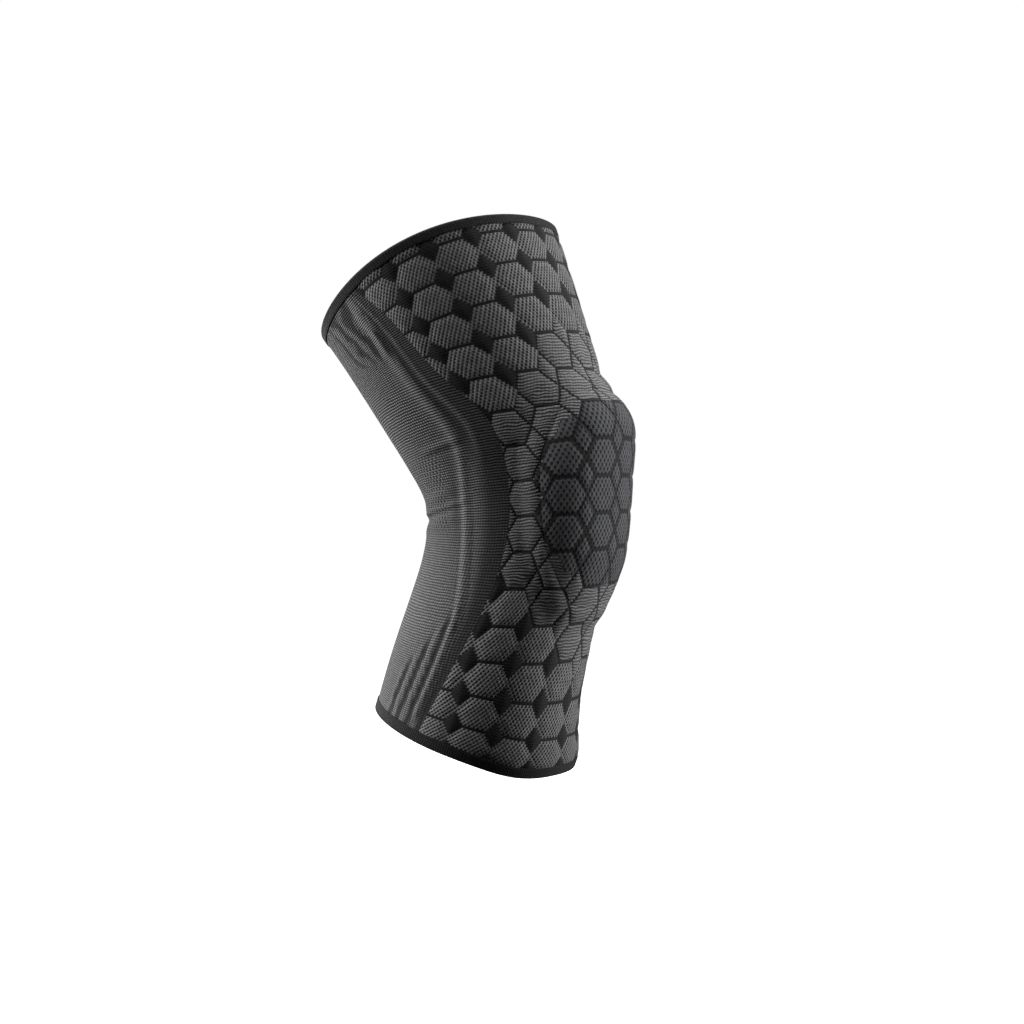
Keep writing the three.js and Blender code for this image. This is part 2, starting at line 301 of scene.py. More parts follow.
class Wire:
    """A number in a node tree. Arithmetic on it adds Math nodes, and a comparison gives 1 or 0."""

    def __init__(self, tree, socket):
        self.tree = tree
        self.socket = socket

    def math(self, operation, *others):
        """Math node with this wire and the others as its inputs."""
        node = self.tree.nodes.new("ShaderNodeMath")
        node.operation = operation
        for entry, value in zip(node.inputs, (self, *others)):
            plug(self.tree, entry, value)
        return Wire(self.tree, node.outputs[0])

    def __rsub__(self, other):
        """A number less this wire: the wire times -1, plus the number."""
        return self.math("MULTIPLY_ADD", -1.0, other)

    __add__ = partialmethod(math, "ADD")
    __radd__ = __add__
    __sub__ = partialmethod(math, "SUBTRACT")
    __mul__ = partialmethod(math, "MULTIPLY")
    __rmul__ = __mul__
    __truediv__ = partialmethod(math, "DIVIDE")
    __gt__ = partialmethod(math, "GREATER_THAN")
    __abs__ = partialmethod(math, "ABSOLUTE")
    round = partialmethod(math, "ROUND")


def plug(tree, entry, value):
    """Links a wire to an input, or sets a plain number on it."""
    if isinstance(value, Wire):
        tree.links.new(value.socket, entry)
    else:
        entry.default_value = value


def set_inputs(node, values):
    """Sets plain numbers on the named inputs of a node."""
    for label, value in values.items():
        node.inputs[label].default_value = value


# %% Steps, humps and noise in the shader


def smooth(wire, low, high):
    """Smooth step of a wire from 0 at low to 1 at high; low may be the larger one."""
    node = wire.tree.nodes.new("ShaderNodeMapRange")
    node.interpolation_type = "SMOOTHSTEP"
    plug(wire.tree, node.inputs["Value"], wire)
    set_inputs(node, {"From Min": min(low, high), "From Max": max(low, high)})
    set_inputs(node, {"To Min": float(low >= high), "To Max": float(low < high)})
    return Wire(wire.tree, node.outputs["Result"])


def bump_at(wire, middle, half_width):
    """A soft hump: 1 in the middle, 0 beyond the half width."""
    return smooth(abs(wire - middle), half_width, 0.0)


def between(first, second, share):
    """Straight mix by a share, for numbers, arrays and wires alike."""
    return share * (second - first) + first


def read_map(tree, label):
    """The two numbers of a UV map as wires."""
    node = tree.nodes.new("ShaderNodeUVMap")
    node.uv_map = label
    parts = tree.nodes.new("ShaderNodeSeparateXYZ")
    tree.links.new(node.outputs["UV"], parts.inputs["Vector"])
    return Wire(tree, parts.outputs["X"]), Wire(tree, parts.outputs["Y"])


def cloud(tree, scale, detail):
    """Soft noise in Object coordinates, scale in patches a metre."""
    where = tree.nodes.new("ShaderNodeTexCoord")
    node = tree.nodes.new("ShaderNodeTexNoise")
    tree.links.new(where.outputs["Object"], node.inputs["Vector"])
    set_inputs(node, {"Scale": scale, "Detail": detail})
    return Wire(tree, node.outputs["Fac"])


def stitch_luck(wale_number, course_number):
    """A number from 0 to 1 that is the same all over one stitch."""
    tree = wale_number.tree
    joined = tree.nodes.new("ShaderNodeCombineXYZ")
    plug(tree, joined.inputs["X"], wale_number)
    plug(tree, joined.inputs["Y"], course_number)
    node = tree.nodes.new("ShaderNodeTexWhiteNoise")
    node.noise_dimensions = "2D"
    tree.links.new(joined.outputs["Vector"], node.inputs["Vector"])
    return Wire(tree, node.outputs["Value"])


# %% Yarns
YARN_FINISH = {"Roughness": 0.85, "Specular IOR Level": 0.12, "Sheen Weight": 0.03, "Sheen Roughness": 0.5}


def mix_yarns(tree, first, second, share):
    """Colour between two yarns by a share. A yarn is three numbers, or a mix made by this function."""
    node = tree.nodes.new("ShaderNodeMix")
    node.data_type = "RGBA"
    plug(tree, node.inputs["Factor"], share)
    for label, yarn in (("A", first), ("B", second)):
        plug(tree, node.inputs[label], yarn if isinstance(yarn, Wire) else (*yarn, 1.0))
    return Wire(tree, node.outputs["Result"])


def finish_cloth(material, tone, dark, light, height, relief_mm):
    """Colour between dark and light yarn by the tone, and a bump of the given height."""
    tree = material.node_tree
    shader = tree.nodes["Principled BSDF"]
    plug(tree, shader.inputs["Base Color"], mix_yarns(tree, dark, light, tone))
    bump = tree.nodes.new("ShaderNodeBump")
    set_inputs(bump, {"Strength": 1.0, "Distance": relief_mm * MM})
    plug(tree, bump.inputs["Height"], height)
    tree.links.new(bump.outputs["Normal"], shader.inputs["Normal"])
    set_inputs(shader, YARN_FINISH)
    print(material.name, len(tree.nodes), "nodes")


def new_material(name):
    """Empty node material."""
    material = bpy.data.materials.new(name)
    material.use_nodes = True
    return material


# %% [markdown]
# ## Stitches
# A knit has wales, which run along the leg, and courses, which run round it. In the open parts every second
# course is shifted by half a stitch, so the narrow slits between the stitches stand like bricks in a wall.
# Counting whole numbers of stitches to a hexagon keeps the cloth and the pattern together, and asking for
# the colour at the middle of a stitch gives the hexagons the toothed edges that a knitting machine makes.

# %% Stitch formulas
WANDER_SCALE = 150.0
GREY_REACH = 0.55
GREY_SLOPE = 0.6
LEVEL_LINE = 0.9


class Stitches:
    """Stitch numbers at a point of the cloth. Wales and courses are stitches to a column and to a row of
    hexagons; shift is the part of a stitch by which every second course is moved, slant is how many
    stitches a wale moves over from one course to the next, and wander is how many courses the knit is
    pulled out of true. The shifted courses are the odd ones, or the even ones if first is 1."""

    def __init__(self, tree, wales, courses, shift, slant, wander, first=0.0):
        self.column, self.row = read_map(tree, "lattice")
        course = self.row * courses + (cloud(tree, WANDER_SCALE, 1.0) - 0.5) * wander + 0.5
        self.course_number = course.math("FLOOR")
        self.up = course - self.course_number - 0.5
        moved = (self.course_number + first).math("FLOORED_MODULO", 2.0) * shift
        wale = self.column * wales + moved + self.up * slant
        self.wale_number = wale.math("FLOOR")
        self.along = wale - self.wale_number - 0.5
        self.middle_column = (self.wale_number - moved + 0.5) / wales
        self.middle_row = self.course_number / courses
        self.luck = stitch_luck(self.wale_number, self.course_number)

    def course_rib(self):
        """1 along the middle of a course, 0 in the gap between two courses."""
        return bump_at(self.up, 0.0, 0.5)

    def wale_rib(self):
        """1 along the middle of a wale, 0 between two wales."""
        return bump_at(self.along, 0.0, 0.5)

    def slit(self, half_width, half_height):
        """1 in the slit between two stitches of a course; both sizes are parts of a stitch."""
        beside = 0.5 - abs(self.along)
        narrow = smooth(beside, half_width * 1.5, half_width * 0.5)
        return narrow * smooth(abs(self.up), half_height * 1.25, half_height * 0.75)


def hexagon_line(stitches, half_width_mm):
    """1 on the edges of the hexagons, 0 beyond the half width. Slanted edges climb in steps of a course."""
    inside, _ = hexagon_inside(stitches.column, stitches.middle_row)
    _, to_level = hexagon_inside(stitches.column, stitches.row)
    slanted = smooth(abs(inside) * COLUMN_MM, half_width_mm * 1.3, half_width_mm * 0.7)
    level = smooth(to_level * ROW_MM, half_width_mm * 1.2, half_width_mm * 0.7)
    return slanted.math("MAXIMUM", level * smooth(inside, -0.02, 0.01))


def knitted_grey(stitches):
    """1 where a stitch of a mesh hexagon is grey, 0 on the level line. The grey reaches past one half of a
    column at the middle of the row, so neighbours touch there with blunt corners."""
    across = abs(stitches.middle_column - stitches.middle_column.round())
    along = abs(stitches.middle_row - stitches.middle_row.round())
    within = (GREY_REACH - across - along * GREY_SLOPE) > 0.0
    _, to_level = hexagon_inside(stitches.column, stitches.row)
    return within * smooth(to_level * ROW_MM, LEVEL_LINE * 0.85, LEVEL_LINE * 1.15)


def cell_choice(stitches, hexagon_test, diamond_test):
    """1 where the test of the cell that holds a stitch gives more than 0. Hexagons are counted by whole
    numbers from the pad's middle, diamonds by halves."""
    column, row = stitches.middle_column, stitches.middle_row
    inside, _ = hexagon_inside(column, row)
    hexagon = hexagon_test(abs(column.round()), abs(row.round()))
    diamond = diamond_test(*[abs(wire.math("FLOOR") + 0.5) for wire in (column, row)])
    return between(diamond > 0.0, hexagon > 0.0, inside > 0.0)


# %% [markdown]
# ## The cloth of the front
# Away from the pad the hexagons are open grey mesh with black diamonds between them. Round the pad they are
# plain knit with thin black outlines and grey diamonds. On the pad they are open mesh again, darker, with
# wide soft lines that are pressed into the foam. The sleeve and the pad share this formula, so the pattern
# runs on from one to the other.

# %% Front cloth
PLAIN_REACH = 5.05
THIN_LINE = 0.82
WIDE_LINE = 1.3
PAD_SHADE = 0.40
PAD_HEXAGONS = 2.1
PAD_DIAMONDS = 3.5
PAD_LEVEL = 2.52
PAD_CORNER = 4.09
PAD_CORNER_SLOPE = 1.15


def plain_cells(stitches):
    """The plain zone: a diamond-shaped field of cells round the pad."""
    return cell_choice(
        stitches,
        lambda column, row: PLAIN_REACH - column.math("MAXIMUM", 1.0) - row,
        lambda column, row: PLAIN_REACH - column - row,
    )


def pad_cells(stitches):
    """The pad's own cells, five columns of five hexagons, cut off level above and below them and on a slant
    at the corners."""
    cells = cell_choice(
        stitches,
        lambda column, row: PAD_HEXAGONS - column.math("MAXIMUM", row),
        lambda column, row: PAD_DIAMONDS - column - row,
    )
    column = abs(stitches.middle_column)
    row = abs(stitches.middle_row)
    corner = (PAD_CORNER - row - column * PAD_CORNER_SLOPE) > 0.0
    return cells * corner * ((PAD_LEVEL - row) > 0.0)


def mesh_cloth(tree):
    """Tone and height of the grey mesh hexagons and the black diamonds between them, and the share that is
    plain instead. Towards the sides the mesh carries painted light: it is painted a little lighter there."""
    knit = Stitches(tree, wales=10.0, courses=12.0, shift=0.5, slant=0.28, wander=0.5, first=1.0)
    grey = knitted_grey(knit)
    yarn = (1.0 - knit.slit(0.25, 0.37)) * between(0.70, 1.0, knit.course_rib())
    # Painted light: the mesh is painted lighter towards the sides of the front.
    painted_light_at_sides = smooth(abs(knit.column), 2.2, 3.4)
    light = between(0.02, 1.0, yarn) * between(0.82, 1.18, knit.luck) * between(1.0, 1.22, painted_light_at_sides)
    black = between(0.004, 0.050, knit.course_rib() * knit.wale_rib())
    return between(black, light, grey), between(0.25 * knit.course_rib(), yarn, grey), plain_cells(knit)


def plain_cloth(tree):
    """Tone and height of the plain hexagons and diamonds, with thin black outlines. Right beside the pad they
    carry painted shade, which makes them darker."""
    knit = Stitches(tree, wales=12.0, courses=12.0, shift=0.5, slant=0.3, wander=1.7)
    line = hexagon_line(knit, THIN_LINE)
    course = knit.course_rib()
    yarn = between(0.20, 1.14, course) * (1.0 - knit.slit(0.16, 0.5) * 0.35)
    # Painted shade: the plain cells right beside the pad's flanks are darkened.
    painted_shade_by_pad = bump_at(abs(knit.column), 3.2, 1.7) * bump_at(knit.row, -0.3, 3.4)
    tone = yarn * between(0.82, 1.12, knit.luck) * (1.0 - line * 0.95) * (1.0 - painted_shade_by_pad * 0.25)
    return tone, course * 0.8 - line * 0.6


def pad_cloth(tree):
    """Tone and height on the pad, which has small dots of holes and wide soft lines, and the share that is
    the pad's own."""
    knit = Stitches(tree, wales=8.0, courses=9.0, shift=0.5, slant=0.1, wander=0.3)
    line = hexagon_line(knit, WIDE_LINE)
    hole = knit.slit(0.20, 0.34)
    tone = (1.0 - hole * 0.95) * between(0.72, 1.0, knit.course_rib()) * between(0.84, 1.14, knit.luck)
    return tone * (1.0 - line * 0.93) * PAD_SHADE, 1.0 - hole, pad_cells(knit)


def front_cloth(tree):
    """Tone, height and the share that belongs to the pad, for the front of the cloth."""
    mesh_tone, mesh_height, is_plain = mesh_cloth(tree)
    plain_tone, plain_height = plain_cloth(tree)
    pad_tone, pad_height_here, is_pad = pad_cloth(tree)
    tone = between(between(mesh_tone, plain_tone, is_plain), pad_tone, is_pad)
    height = between(between(mesh_height, plain_height, is_plain), pad_height_here, is_pad)
    return tone, height, is_pad


# %% [markdown]
# ## The cloth of the sides and the back
# At each side a dark band with raised cords leads to the back, which is a light striped mesh. Towards both
# ends narrow ribs fan out beside the cord, and behind the knee, where the cloth is stretched most, the
# stripes open into a net.

# %% Side and back cloth
SIDE_WALES = 13.0
SIDE_COURSES = 12.5
WALE_MM = 1.6
RIB_PITCH_KNEE = 8.0
RIB_PITCH_END = 9.6
RIB_WANDER = 20.0
RIB_WANDER_SCALE = 55.0
LOWER_FAN = 0.10
UPPER_FAN = 0.02
THIN_CORD = 0.52


def back_cloth(tree, knit, from_ridge):
    """Tone of the cloth: stripes along the courses, a grid of dots above the knee, and a wide net right
    behind the knee, times painted shade: a little darker below the knee than above it, a soft painted shadow
    behind the knee, and a darker painted shadow band a little way behind the side cord at the knee."""
    net = Stitches(tree, wales=7.0, courses=7.0, shift=0.5, slant=0.0, wander=0.5)
    stripe = smooth(knit.course_rib(), 0.10, 0.85)
    lines = between(between(0.24, 0.10, smooth(knit.row, -2.5, 0.0)), 1.04, stripe)
    dots = stripe * between(0.10, 1.64, smooth(knit.wale_rib(), 0.10, 0.85)) + 0.03
    upper = smooth(knit.row, -0.4, 0.8) * smooth(from_ridge + knit.row * 0.8, 6.0, 13.0)
    cloth = between(lines, dots, upper * 0.75 + 0.25)
    behind_knee = smooth(abs(knit.row - 0.4), 1.8, 0.9) * smooth(from_ridge, 11.0, 18.0)
    # Painted shade: darker below the knee than above it, a soft shadow behind the knee, and a shadow band
    # behind the side cord at the knee, where the cloth folds.
    painted_shade = between(0.94, 1.07, smooth(knit.row, -2.0, 2.0))
    painted_shade = painted_shade * (1.0 - bump_at(knit.row, 0.3, 5.0) * smooth(from_ridge, 0.0, 7.0) * 0.30)
    painted_shade = painted_shade * (1.0 - bump_at(knit.row, 0.2, 2.4) * bump_at(from_ridge, 7.0, 5.0) * 0.45)
    return between(cloth, 0.94 - net.slit(0.26, 0.46) * 0.92, behind_knee) * painted_shade


def rib_pattern(tree, knit, from_ridge):
    """Share of light yarn in the fan of ribs near both ends, and where that fan is. Ribs are chosen stitch
    by stitch, so their edges climb in steps, and the upper ones wander."""
    stitch_place = from_ridge - knit.along * knit.column.math("SIGN") * WALE_MM
    wander = (cloud(tree, RIB_WANDER_SCALE, 1.0) - 0.5) * RIB_WANDER * smooth(knit.row, 3.0, 5.0)
    pitch_here = between(RIB_PITCH_KNEE, RIB_PITCH_END, smooth(knit.row, 3.5, 7.0))
    turns = ((stitch_place + wander) / pitch_here + 0.5).math("FRACT")
    light = smooth(bump_at(turns, 0.5, 0.5), 0.25, 0.70)
    lower = smooth(from_ridge * LOWER_FAN + knit.middle_row, -2.6, -3.2)
    upper = smooth(knit.middle_row - from_ridge * UPPER_FAN, 4.4, 5.4)
    room = lower.math("MAXIMUM", upper) * smooth(from_ridge, -3.0, -1.5) * smooth(from_ridge, 27.0, 23.0)
    return light, room


def side_cloth(tree):
    """Tone and height behind the hexagons, and the millimetres from their edge. The side cord carries a
    painted highlight, strongest at the knee, and below the knee it has broken dark lines on both sides."""
    knit = Stitches(tree, SIDE_WALES, SIDE_COURSES, shift=0.0, slant=0.0, wander=0.6)
    from_edge, from_ridge = read_map(tree, "side")
    across = from_edge / (from_edge - from_ridge)
    upper = smooth(knit.row, 0.8, 2.6)
    base = between(0.22, 0.78, smooth(across, 0.38, 0.76))
    thin_cord = bump_at(across, THIN_CORD, 0.13) * upper
    gap = bump_at(across, 0.76, 0.20) * upper
    shade = between(base, 0.34, upper * smooth(across, 0.95, 0.75)) * (1.0 - gap * 0.4) + thin_cord * 0.46
    # Painted highlight along the side cord, strongest at the knee.
    painted_cord_highlight = between(0.34, 0.60, bump_at(knit.row, 0.4, 3.0))
    shade = between(shade, 0.86, smooth(from_ridge, -3.2, -0.8))
    shade = shade + bump_at(from_ridge, 0.0, 3.4) * painted_cord_highlight
    light, room = rib_pattern(tree, knit, from_ridge)
    shade = between(shade, between(0.17, 1.12, light), room)
    cord_edge = bump_at(abs(from_ridge), 4.3, 1.5) * (knit.luck > 0.35)
    shade = shade * (1.0 - cord_edge * smooth(knit.row, 0.5, -1.5) * 0.5)
    tone = back_cloth(tree, knit, from_ridge) * shade * between(0.80, 1.0, knit.luck)
    height = knit.course_rib() * between(0.6, 1.0, knit.wale_rib())
    return tone, height, from_edge


# %% [markdown]
# ## The finish of the sleeve
# Front and side meet at the edge of the hexagons. Three yarns make up the whole cloth: a nearly black one, a
# grey one, and a slightly colder grey on the pad. Soft patches of lighter and darker cloth keep it from
# looking printed.

# %% Jacquard material
KNIT_RELIEF = 0.42
PATCH_SCALE = 70.0
DARK_YARN = (0.0075, 0.0075, 0.0077)
LIGHT_YARN = (0.165, 0.165, 0.167)
PAD_YARN = (0.158, 0.160, 0.174)


def finish_front(material, tone, height, is_pad):
    """Soft patches over the tone, and the colder yarn where the pad's own cells are."""
    tree = material.node_tree
    patchy = tone * between(0.88, 1.12, cloud(tree, PATCH_SCALE, 3.0))
    light = mix_yarns(tree, LIGHT_YARN, PAD_YARN, is_pad)
    finish_cloth(material, patchy, DARK_YARN, light, height, KNIT_RELIEF)


def jacquard_material():
    """The whole sleeve: front cloth as far as the edge of the hexagons, then the side and the back."""
    material = new_material("jacquard_knit")
    tree = material.node_tree
    front_tone, front_height, is_pad = front_cloth(tree)
    side_tone, side_height, from_edge = side_cloth(tree)
    at_side = smooth(from_edge, -0.2, 0.5)
    tone = between(front_tone, side_tone, at_side)
    finish_front(material, tone, between(front_height, side_height, at_side), is_pad)
    return material


jacquard = jacquard_material()

# %% [markdown]
# ## The inside of the sleeve
# Inside, the loose yarns of the pattern lie along the courses, so the cloth is darker and plainer there.

# %% Inner material
INNER_RELIEF = 0.35


def inner_material():
    """Fine courses in dark grey."""
    material = new_material("inner_knit")
    knit = Stitches(material.node_tree, wales=14.0, courses=14.0, shift=0.5, slant=0.3, wander=1.0)
    rib = knit.course_rib()
    tone = between(0.10, 0.42, rib) * between(0.8, 1.15, knit.luck) * between(0.85, 1.0, knit.wale_rib())
    finish_cloth(material, tone, DARK_YARN, LIGHT_YARN, rib, INNER_RELIEF)
    return material


inner_knit = inner_material()

# %% [markdown]
# ## Relief of the sleeve
# The cloth isn't smooth: it stands off the leg round the pad, has a raised cord down each side, narrow ribs
# near both ends at the back, a fold and two wrinkles behind the knee, and slightly cushioned hexagons. At the
# shin the lower edging draws it in. Each of these is a height in millimetres off the leg form, added up
# point by point.

# %% Pad outline and tent
# The outline is in columns and rows of hexagons, heights are in millimetres.
PAD_HALF_COLUMNS = 2.6
PAD_ROWS_UP = 2.85
PAD_ROWS_DOWN = 3.1
PAD_LEVEL_SHARE = 0.56
PAD_UPRIGHT_SHARE = 0.39
PAD_ROUNDING = 12.0
TENT = 5.0
TENT_REACH = 0.25
PAD_BED = 0.4
BED_FADE = 0.06


def pad_size(column, row):
    """Size of the rounded octagon through a point, 1 on the pad's outline: a high power mean of the
    distances to the upright, level and slanted edges."""
    across = np.abs(column) / PAD_HALF_COLUMNS
    along = np.abs(row) / np.where(row > 0, PAD_ROWS_UP, PAD_ROWS_DOWN)
    run = 1.0 - PAD_LEVEL_SHARE
    fall = 1.0 - PAD_UPRIGHT_SHARE
    corner = (fall * across + run * along) / (fall * PAD_LEVEL_SHARE + run)
    total = across**PAD_ROUNDING + along**PAD_ROUNDING + corner**PAD_ROUNDING
    return total ** (1.0 / PAD_ROUNDING)


def tent(column, row):
    """How far the cloth stands off the leg at the pad: full on the outline, fading outside it, and a
    little lower under the pad."""
    size = pad_size(column, row)
    return TENT * ease(1.0 - (size - 1.0) / TENT_REACH) - PAD_BED * ease((1.0 - size) / BED_FADE)


print("tent at the pad's middle", tent(np.array(0.0), np.array(0.0)), "mm")

# %% Fold and wrinkles
# Heights and widths are in millimetres, turns in degrees from the front of the leg.
FOLD_DEPTH = 0.7
FOLD_WIDTH = 4.2
FOLD_SLOPE = 0.27
FOLD_ANGLE = 120.0
FOLD_START = 112.0
FOLD_FADE = 26.0
SWELL_AWAY = 2.2
SWELL_SHARE = 0.6
# Station, millimetres up for each degree towards the back, the turns where it starts and ends, and height.
WRINKLES = (
    (-1.4, -0.14, 113.0, 176.0, 1.1),
    (34.4, 0.08, 106.0, 142.0, 0.9),
)
WRINKLE_START = 117.0
WRINKLE_FADE = 14.0
WRINKLE_WIDTH = 2.1
DIP_SHARE = 0.45
DIP_AWAY = 3.6
DIP_WIDTH = 1.7


def fold(angle, station):
    """Fold behind the knee: a narrow dip with a swell above and below it, only at the back."""
    turn = from_front(angle)
    away = (station + FOLD_SLOPE * (turn - FOLD_ANGLE)) / FOLD_WIDTH
    swells = hump(away - SWELL_AWAY, 1.0) + hump(away + SWELL_AWAY, 1.0)
    return FOLD_DEPTH * ease((turn - FOLD_START) / FOLD_FADE) * (SWELL_SHARE * swells - hump(away, 1.0))


def wrinkles(angle, station):
    """Raised wrinkles at the back, each with a dip right below it: a bell across a line that slopes round the
    leg, fading out at both ends."""
    turn = from_front(angle)
    total = 0.0
    for place, slope, first, last, height in WRINKLES:
        away = station - place - slope * (turn - WRINKLE_START)
        ends = ease((turn - first) / WRINKLE_FADE) * ease((last - turn) / WRINKLE_FADE)
        bell = hump(away, WRINKLE_WIDTH) - DIP_SHARE * hump(away + DIP_AWAY, DIP_WIDTH)
        total = total + height * ends * bell
    return total


# %% Cords, ribs and cushions
TOP_HEM_HEIGHT = 4.0
BOTTOM_HEM_HEIGHT = 5.0
HEM_CLEAR = 1.0
RUN_OUT = 10.0
CORD_HEIGHT = 0.8
CORD_WIDTH = 2.7
THIN_CORD_HEIGHT = 0.5
THIN_CORD_WIDTH = 0.08
RIB_HEIGHT = 0.38
DOME_HEIGHT = 0.5
DOME_REACH = 5.0
LINE_DIP = 0.3
LINE_DIP_WIDTH = 0.9
EDGE_FADE = 2.0
PAD_FADE = 0.12


def side_relief(from_edge, from_ridge, row, station):
    """Cords and ribs: a main cord on the ridge line, a thin one half way to the hexagons above the knee,
    and a fan of narrow ribs near both ends. All of it runs out before the hems."""
    below_top = TOP_STATION - TOP_HEM_HEIGHT - HEM_CLEAR - station
    above_bottom = station - BOTTOM_STATION - BOTTOM_HEM_HEIGHT - HEM_CLEAR
    ends = ease(below_top / RUN_OUT) * ease(above_bottom / RUN_OUT)
    across = from_edge / (from_edge - from_ridge)
    thin_cord = hump(across - THIN_CORD, THIN_CORD_WIDTH) * ease((row - 0.3) / 2.2)
    pitch_here = between(RIB_PITCH_KNEE, RIB_PITCH_END, ease((row - 3.5) / 3.5))
    lower = ease(-2.6 - row - LOWER_FAN * from_ridge)
    upper = ease(row - 4.9 - UPPER_FAN * from_ridge)
    room = np.maximum(lower, upper) * ease((from_ridge + 3.0) / 2.0) * ease((26.0 - from_ridge) / 4.0)
    ribs = RIB_HEIGHT * np.cos(2.0 * np.pi * from_ridge / pitch_here) * room
    return (CORD_HEIGHT * hump(from_ridge, CORD_WIDTH) + THIN_CORD_HEIGHT * thin_cord + ribs) * ends


def hexagon_relief(column, row, from_edge):
    """Cushioned cells: a low dome on each and a narrow dip on the lines, only in front and beside the
    pad."""
    line = hexagon_edge(column, row)
    dome = DOME_HEIGHT * ease(line / DOME_REACH) - LINE_DIP * hump(line, LINE_DIP_WIDTH)
    return dome * ease(-from_edge / EDGE_FADE) * ease((pad_size(column, row) - 1.0) / PAD_FADE)


# %% Cloth at the hems
HEM_PINCH = 0.5
HEM_FLARE = 1.6
CALF_DRAW = 2.2
CALF_DRAW_REACH = 10.0
CALF_DRAW_END = 110.0
CALF_DRAW_FADE = 60.0


def draw_in(angle, station):
    """How far the calf's edging draws the cloth in over the shin: it grows with the square of the way
    over the last stretch, and there is none at the back."""
    way = np.clip((BOTTOM_STATION + CALF_DRAW_REACH - station) / CALF_DRAW_REACH, 0.0, 1.0)
    return CALF_DRAW * way**2 * ease((CALF_DRAW_END - from_front(angle)) / CALF_DRAW_FADE)


def cloth_off(angle, station, column, row):
    """How far the knit stands off the leg before any fine relief: the tent, plus the fold, less what the
    edging draws in."""
    return tent(column, row) + fold(angle, station) - draw_in(angle, station)


def under_hem(station):
    """1 where a hem covers the end of the knit, fading to 0 at the hem's edge."""
    top = ease((station - TOP_STATION + TOP_HEM_HEIGHT) / HEM_FLARE)
    bottom = ease((BOTTOM_STATION + BOTTOM_HEM_HEIGHT - station) / HEM_FLARE)
    return np.maximum(top, bottom)


# %% [markdown]
# ## The sleeve
# The tube is a grid: turns round the leg by stations along it. The outer wall carries the relief, the inner
# wall lies two millimetres inside it, and the two meet at both ends, where the hems cover them.

# %% Sleeve grid
SLEEVE_COLUMNS = 324
SLEEVE_ROWS = 240
INNER_ROWS = 48
MEAN_RADIUS = 58.0


def side_distances(turn, station):
    """Millimetres round the leg from the edge of the hexagons and from the side cord, positive to the back:
    degrees times the arc of one degree at the mean radius."""
    arc = math.radians(1.0) * MEAN_RADIUS
    return (np.abs(turn) - ring("edge", station)) * arc, (np.abs(turn) - ring("ridge", station)) * arc


def sleeve_wall(rows, is_outer):
    """Points, faces and UV numbers of one wall. The outer wall adds cords, ribs, cushions and wrinkles, the
    inner one lies a wall's thickness inside, and the two are pinched together under the hems."""
    turn = np.linspace(-180.0, 180.0, SLEEVE_COLUMNS + 1)[None, :]
    station = np.linspace(BOTTOM_STATION, TOP_STATION, rows)[:, None]
    angle = ring("centre", station) + turn
    column, row = lattice_of(angle, station)
    from_edge, from_ridge = side_distances(turn, station)
    base = cloth_off(angle, station, column, row)
    detail = side_relief(from_edge, from_ridge, row, station) + hexagon_relief(column, row, from_edge)
    detail = detail + wrinkles(angle, station)
    pinch = HEM_PINCH * under_hem(station)
    off = base + detail - pinch if is_outer else base - WALL + pinch
    points = leg_point(angle, station, off)[:, :-1].reshape(-1, 3)
    quads = grid_quads(rows, SLEEVE_COLUMNS, True)
    lattice = corners_of(column, row)
    side = corners_of(from_edge, from_ridge)
    if is_outer:
        return points, quads[:, ::-1], lattice[:, ::-1], side[:, ::-1]
    return points, quads, lattice, side


def make_sleeve():
    """Outer wall, inner wall and the two narrow rims between them."""
    outer, outer_quads, lattice, side = sleeve_wall(SLEEVE_ROWS, True)
    inner, inner_quads, inner_lattice, inner_side = sleeve_wall(INNER_ROWS, False)
    start = SLEEVE_ROWS * SLEEVE_COLUMNS
    here = np.arange(SLEEVE_COLUMNS)
    beside = (here + 1) % SLEEVE_COLUMNS
    top_out = (SLEEVE_ROWS - 1) * SLEEVE_COLUMNS
    top_in = start + (INNER_ROWS - 1) * SLEEVE_COLUMNS
    bottom_rim = np.stack([here, beside, start + beside, start + here], -1)
    top_rim = np.stack([top_out + beside, top_out + here, top_in + here, top_in + beside], -1)
    rim_map = np.zeros((2 * SLEEVE_COLUMNS, 4, 2))

    points = np.concatenate([outer, inner])
    quads = np.concatenate([outer_quads, inner_quads + start, bottom_rim, top_rim])
    maps = {
        "lattice": np.concatenate([lattice, inner_lattice, rim_map]),
        "side": np.concatenate([side, inner_side, rim_map]),
    }
    is_inner = np.arange(len(quads)) >= len(outer_quads)
    return make_piece("knit_sleeve", points, quads, maps, [jacquard, inner_knit], is_inner)


sleeve = make_sleeve()

# %% [markdown]
# ## The finish of the pad
# The pad's face is the same open mesh in a darker, slightly cold grey, and its hexagon lines are wider and
# softer, because they are pressed into the foam.

# %% Pad material


def pad_material():
    """The same front cloth, with a slightly cold yarn on the pad's own cells."""
    material = new_material("pad_knit")
    finish_front(material, *front_cloth(material.node_tree))
    return material


pad_knit = pad_material()

# %% [markdown]
# ## The knee pad
# The pad is foam under a tight knitted face, so it is a crowned block with a sloping border, thickest
# towards the thigh, and each hexagon is a small cushion between sunk lines. It could be swollen by a cloth
# simulation, but the foam holds its own form, so the height is written as a formula over the lattice. The
# grid is a square pressed into the shape of the octagon, which leaves no pole in the middle.

# %% Pad grid
PAD_GRID = 150
PAD_FOOT = 0.08
PAD_EDGE = 0.18
PAD_CROWN = 8.4
PAD_SLOPE = 1.45
PAD_SHOULDER = 0.46
PAD_FULLNESS = 0.9
PAD_GAP = 0.3
GROOVE_DEPTH = 0.36
GROOVE_WIDTH = 1.3
CUSHION = 0.24
CUSHION_REACH = 6.0
RELIEF_FADE = 0.16
FOOT_FADE = 0.1
TINY = 1e-9


